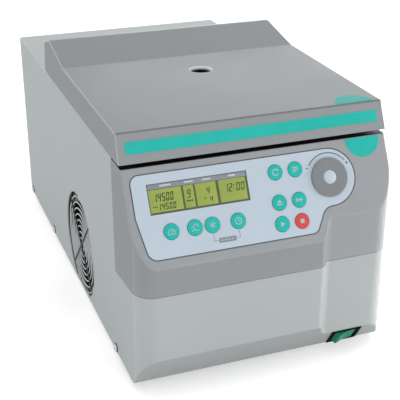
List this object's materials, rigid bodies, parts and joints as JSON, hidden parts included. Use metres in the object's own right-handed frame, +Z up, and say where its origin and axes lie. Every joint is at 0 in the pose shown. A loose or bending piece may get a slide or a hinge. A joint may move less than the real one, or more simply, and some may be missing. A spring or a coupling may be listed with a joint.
{
  "type": "refrigerated centrifuge",
  "caption": "Bench-top refrigerated centrifuge with a rear-hinged lid over a cooled rotor chamber, sloping control panel, dial and keys, mains rocker switch and side fan.",
  "frame": {"origin": "centre of the footprint on the surface that the feet stand on", "axes": "+Z up, the front with the control panel faces -Y, +X to the right of a person who faces the front"},
  "size_m": [0.2838, 0.5376, 0.2819],
  "materials": {
    "light_paint": "satin powder coat",
    "light_plastic": "satin moulded",
    "dark_plastic": "fine matt moulded",
    "zinc": "zinc plated",
    "stainless": "brushed",
    "aluminium": "anodised",
    "copper": "drawn copper tube",
    "foam": "closed-cell foam",
    "rubber": "matt",
    "black_plastic": "satin",
    "black_enamel": "gloss enamel",
    "circuit_board": "solder-resist green",
    "overlay_film": "matt printed film",
    "teal_plastic": "satin",
    "red_plastic": "satin",
    "green_plastic": "satin",
    "knob_grey": "satin",
    "screen": "display window",
    "clear_plastic": "clear"
  },
  "bodies": {
    "cabinet": {"base_pan": "zinc", "housing_cover": "light_paint", "rear_panel": "light_paint", "front_panel_lower": "light_plastic", "front_panel_upper": "dark_plastic", "keypad_overlay": "overlay_film", "lcd_module": "screen", "control_board": "circuit_board", "switch_frame": "black_plastic", "chamber_deck": "dark_plastic", "rotor_bowl": "stainless", "evaporator_coil": "copper", "bowl_insulation": "foam", "drive_motor": "black_enamel", "motor_mount": "rubber", "condenser": "aluminium", "compressor": "black_enamel", "refrigerant_pipe": "copper", "power_board": "circuit_board", "fan_frame": "black_plastic", "fan_guard": "zinc", "mains_inlet": "black_plastic", "lock_housing": "black_plastic", "hinge_bracket": "zinc", "foot_1": "rubber", "foot_2": "rubber", "foot_3": "rubber", "foot_4": "rubber", "side_screw_left_1": "zinc", "side_screw_left_2": "zinc", "side_screw_left_3": "zinc", "side_screw_right_1": "zinc", "side_screw_right_2": "zinc", "side_screw_right_3": "zinc"},
    "lid": {"lid_cover": "dark_plastic", "lid_liner": "light_plastic", "window_ring": "light_plastic", "lid_window": "clear_plastic", "lid_seal": "rubber", "lid_hook": "stainless", "hinge_rod": "stainless"},
    "rotor_assembly": {"motor_shaft": "stainless", "rotor": "aluminium", "rotor_lid": "black_plastic", "rotor_nut": "black_plastic"},
    "fan": {"fan_impeller": "black_plastic"},
    "dial": {"speed_knob": "knob_grey"},
    "mains_rocker": {"power_rocker": "green_plastic"},
    "lid_lock": {"lock_cam": "stainless"},
    "key_run_mode_cap": {"key_run_mode": "teal_plastic"},
    "key_program_cap": {"key_program": "teal_plastic"},
    "key_lid_release_cap": {"key_lid_release": "teal_plastic"},
    "key_short_spin_cap": {"key_short_spin": "teal_plastic"},
    "key_start_cap": {"key_start": "teal_plastic"},
    "key_stop_cap": {"key_stop": "red_plastic"},
    "key_speed_cap": {"key_speed": "teal_plastic"},
    "key_ramp_cap": {"key_ramp": "teal_plastic"},
    "key_temperature_cap": {"key_temperature": "teal_plastic"},
    "key_time_cap": {"key_time": "teal_plastic"}
  },
  "joints": [
    {"name": "lid_hinge", "type": "hinge", "parent": "cabinet", "child": "lid", "pos_m": [0, 0.0934, 0.247], "axis": [-1, 0, 0], "range_deg": [0, 75]},
    {"name": "rotor_spin", "type": "hinge", "parent": "cabinet", "child": "rotor_assembly", "pos_m": [0.0035, -0.051, 0.18], "axis": [0, 0, 1], "continuous": true},
    {"name": "fan_spin", "type": "hinge", "parent": "cabinet", "child": "fan", "pos_m": [-0.125, -0.0344, 0.066], "axis": [1, 0, 0], "continuous": true},
    {"name": "dial_turn", "type": "hinge", "parent": "cabinet", "child": "dial", "pos_m": [0.0704, -0.23753, 0.20246], "axis": [0, -0.8863, 0.4631], "continuous": true},
    {"name": "mains_rocker_tilt", "type": "hinge", "parent": "cabinet", "child": "mains_rocker", "pos_m": [0.0927, -0.24674, 0.02224], "axis": [0, 0.5377, -0.8432], "range_deg": [0, 25.4]},
    {"name": "lid_lock_turn", "type": "hinge", "parent": "cabinet", "child": "lid_lock", "pos_m": [0.1065, -0.163, 0.211], "axis": [1, 0, 0], "range_deg": [0, 90]},
    {"name": "key_run_mode_press", "type": "slide", "parent": "cabinet", "child": "key_run_mode_cap", "axis": [0, 0.8863, -0.4631], "range_m": [0, 0.0008], "stiffness_N_per_m": 1000},
    {"name": "key_program_press", "type": "slide", "parent": "cabinet", "child": "key_program_cap", "axis": [0, 0.8863, -0.4631], "range_m": [0, 0.0008], "stiffness_N_per_m": 1000},
    {"name": "key_lid_release_press", "type": "slide", "parent": "cabinet", "child": "key_lid_release_cap", "axis": [0, 0.8863, -0.4631], "range_m": [0, 0.0008], "stiffness_N_per_m": 1000},
    {"name": "key_short_spin_press", "type": "slide", "parent": "cabinet", "child": "key_short_spin_cap", "axis": [0, 0.8863, -0.4631], "range_m": [0, 0.0008], "stiffness_N_per_m": 1000},
    {"name": "key_start_press", "type": "slide", "parent": "cabinet", "child": "key_start_cap", "axis": [0, 0.8863, -0.4631], "range_m": [0, 0.0008], "stiffness_N_per_m": 1000},
    {"name": "key_stop_press", "type": "slide", "parent": "cabinet", "child": "key_stop_cap", "axis": [0, 0.8863, -0.4631], "range_m": [0, 0.0008], "stiffness_N_per_m": 1000},
    {"name": "key_speed_press", "type": "slide", "parent": "cabinet", "child": "key_speed_cap", "axis": [0, 0.8863, -0.4631], "range_m": [0, 0.0008], "stiffness_N_per_m": 1000},
    {"name": "key_ramp_press", "type": "slide", "parent": "cabinet", "child": "key_ramp_cap", "axis": [0, 0.8863, -0.4631], "range_m": [0, 0.0008], "stiffness_N_per_m": 1000},
    {"name": "key_temperature_press", "type": "slide", "parent": "cabinet", "child": "key_temperature_cap", "axis": [0, 0.8863, -0.4631], "range_m": [0, 0.0008], "stiffness_N_per_m": 1000},
    {"name": "key_time_press", "type": "slide", "parent": "cabinet", "child": "key_time_cap", "axis": [0, 0.8863, -0.4631], "range_m": [0, 0.0008], "stiffness_N_per_m": 1000}
  ]
}
